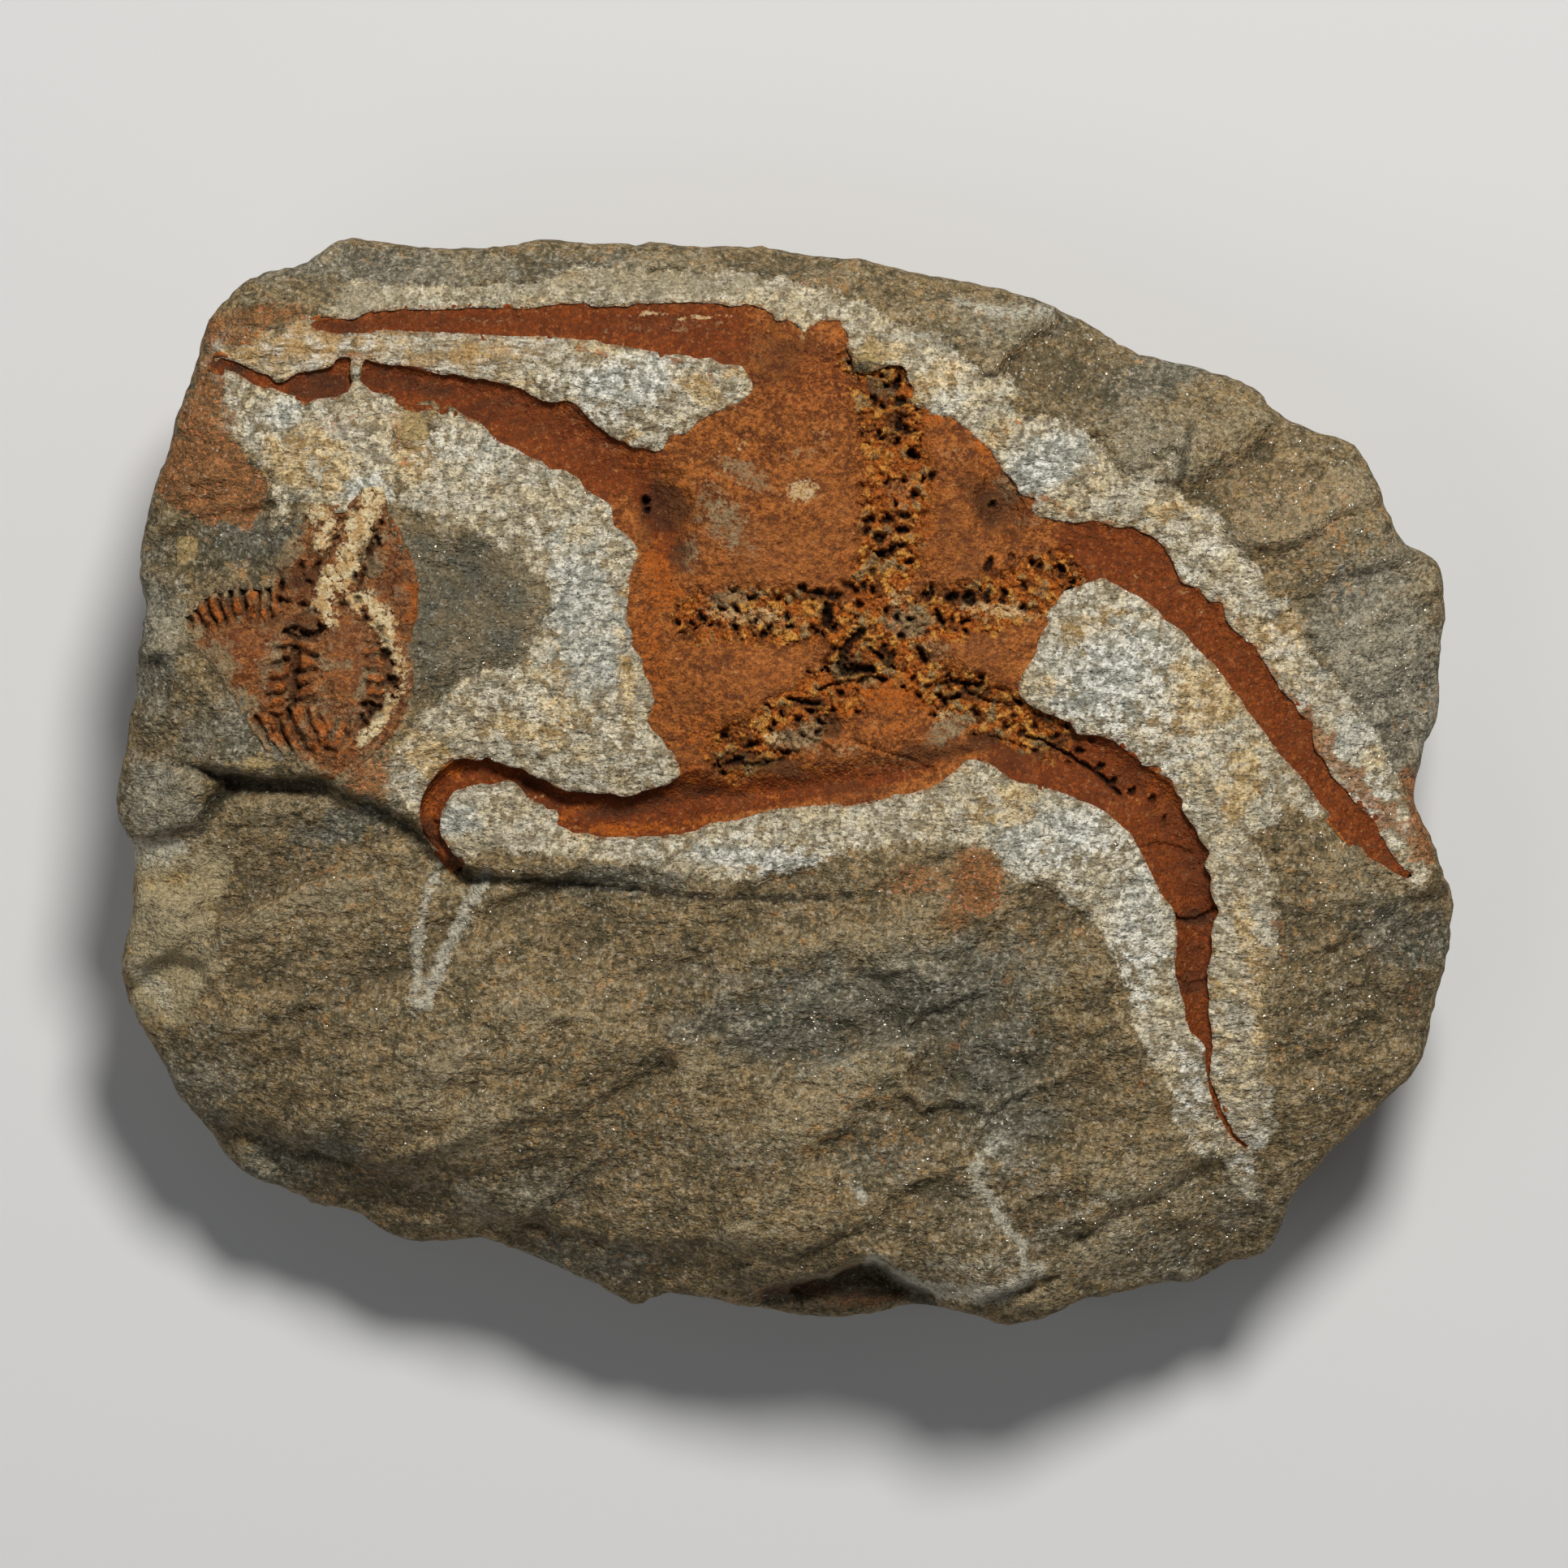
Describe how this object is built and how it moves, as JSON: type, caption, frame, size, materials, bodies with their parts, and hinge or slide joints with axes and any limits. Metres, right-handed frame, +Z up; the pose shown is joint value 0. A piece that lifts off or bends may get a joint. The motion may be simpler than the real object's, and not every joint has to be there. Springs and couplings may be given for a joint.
{
  "type": "fossil brittle star in matrix",
  "caption": "Rust-red fossil brittle star with five tapering arms and part of a second star, in channels on the prepared face of a loose sandstone block.",
  "frame": {"origin": "on the resting plane, under the middle of the block's outline", "axes": "+Z up out of the fossil face, +X along the block's longest side, from the partial star towards the free right-hand end"},
  "size_m": [0.1112, 0.0908, 0.031],
  "materials": {
    "sandstone": "matt broken micaceous sandstone, brown-grey, pale and stippled where it was prepared",
    "iron_oxide_disc": "rust-brown iron oxide with ochre and grey patches in the pitted grooves",
    "iron_oxide_arm": "dark rust-brown iron oxide, faintly glossy",
    "iron_oxide_partial": "rust-brown, grey and cream, pitted and knobbly"
  },
  "bodies": {
    "root": {"matrix": "sandstone", "disc": "iron_oxide_disc", "arm_upper_left": "iron_oxide_arm", "arm_left": "iron_oxide_arm", "arm_lower_left": "iron_oxide_arm", "arm_lower_right": "iron_oxide_arm", "arm_right": "iron_oxide_arm", "partial_star": "iron_oxide_partial"}
  },
  "joints": []
}
